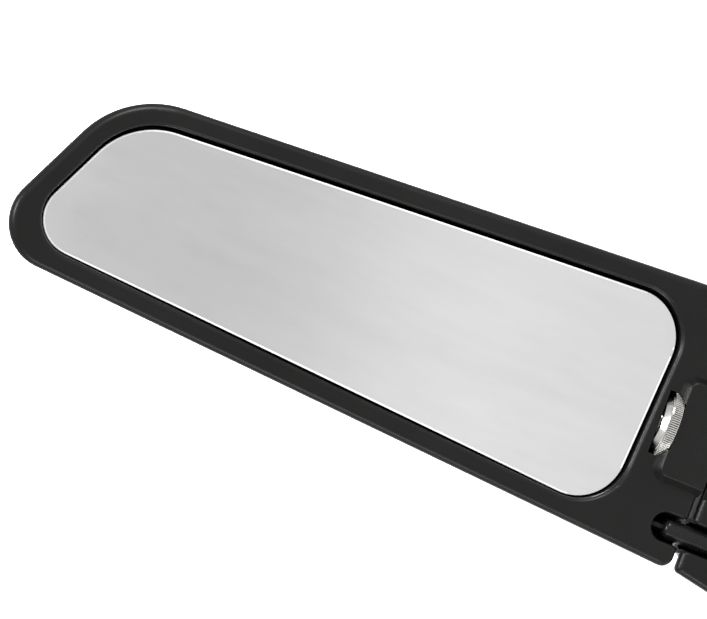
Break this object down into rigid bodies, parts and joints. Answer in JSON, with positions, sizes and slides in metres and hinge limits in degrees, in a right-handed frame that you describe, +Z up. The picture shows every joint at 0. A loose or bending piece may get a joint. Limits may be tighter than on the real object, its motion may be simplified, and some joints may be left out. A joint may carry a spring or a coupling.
{
  "type": "towing mirror",
  "caption": "Clip-on towing mirror: tapered convex glass in a black head with a thumbwheel-driven sliding jaw and hooked claws that grip a vehicle's door mirror.",
  "frame": {"origin": "middle of the rear face of the rubber bearing pad, where the vehicle's door mirror rests", "axes": "+Z up along the head towards its narrow slanted end, +Y forwards out of the back of the head towards the vehicle's door mirror, -Y out of the glass, +X towards the side where the slanted end is lower"},
  "size_m": [0.0999, 0.078, 0.2993],
  "materials": {
    "black_shell": "fine matt grain, black",
    "rear_black": "coarser matt grain, black",
    "mirror_silver": "silvered convex glass, bright ground edge",
    "nickel": "nickel plate, knurled",
    "screw_steel": "bright turned steel",
    "black_steel": "bright drawn, then blackened",
    "zinc_screws": "zinc plate",
    "black_pin": "black, smooth",
    "brass_bush": "machined",
    "rubber_black": "moulded rubber",
    "claw_nylon": "glass-filled nylon, black",
    "carrier_grey": "grey moulded plastic",
    "tape_black": "foam tape"
  },
  "bodies": {
    "head": {"front_frame": "black_shell", "head_rear_shell": "rear_black", "head_shell_screws": "zinc_screws", "upper_bush": "brass_bush", "lower_bush": "brass_bush", "guide_rods": "black_steel", "pivot_bracket": "claw_nylon", "bracket_screws": "zinc_screws", "bearing_pad": "rubber_black", "upper_claws": "claw_nylon", "upper_claw_screws": "zinc_screws", "upper_claw_pads": "rubber_black"},
    "adjuster": {"thumbwheel": "nickel", "grub_screw": "screw_steel", "lead_screw": "screw_steel"},
    "jaw": {"jaw_front": "black_shell", "jaw_rear_shell": "rear_black", "jaw_shell_screws": "zinc_screws", "captive_nut": "brass_bush", "guide_sleeves": "black_pin", "lower_claws": "claw_nylon", "lower_claw_screws": "zinc_screws", "lower_claw_pads": "rubber_black"},
    "gimbal": {"gimbal_ring": "claw_nylon", "pan_axles": "screw_steel", "tilt_axles": "screw_steel", "pan_washers": "screw_steel", "tilt_washers": "screw_steel"},
    "glass": {"glass_carrier": "carrier_grey", "adhesive_tape": "tape_black", "mirror_glass": "mirror_silver"}
  },
  "joints": [
    {"name": "thumbwheel_spin", "type": "hinge", "parent": "head", "child": "adjuster", "pos_m": [-0.0022, -0.027, -0.0761], "axis": [0, 0, 1], "range_deg": [0, 3610]},
    {"name": "jaw_slide", "type": "slide", "parent": "head", "child": "jaw", "axis": [0, 0, -1], "range_m": [0, 0.02]},
    {"name": "glass_pan", "type": "hinge", "parent": "head", "child": "gimbal", "pos_m": [0, -0.021, 0.036], "axis": [0, 0, 1], "range_deg": [-2.5, 2.5]},
    {"name": "glass_tilt", "type": "hinge", "parent": "gimbal", "child": "glass", "pos_m": [0, -0.021, 0.036], "axis": [1, 0, 0], "range_deg": [-2.5, 2.5]}
  ],
  "couplings": [
    {"joint": "thumbwheel_spin", "follows": "jaw_slide", "rad_per_m": 3141.6}
  ]
}
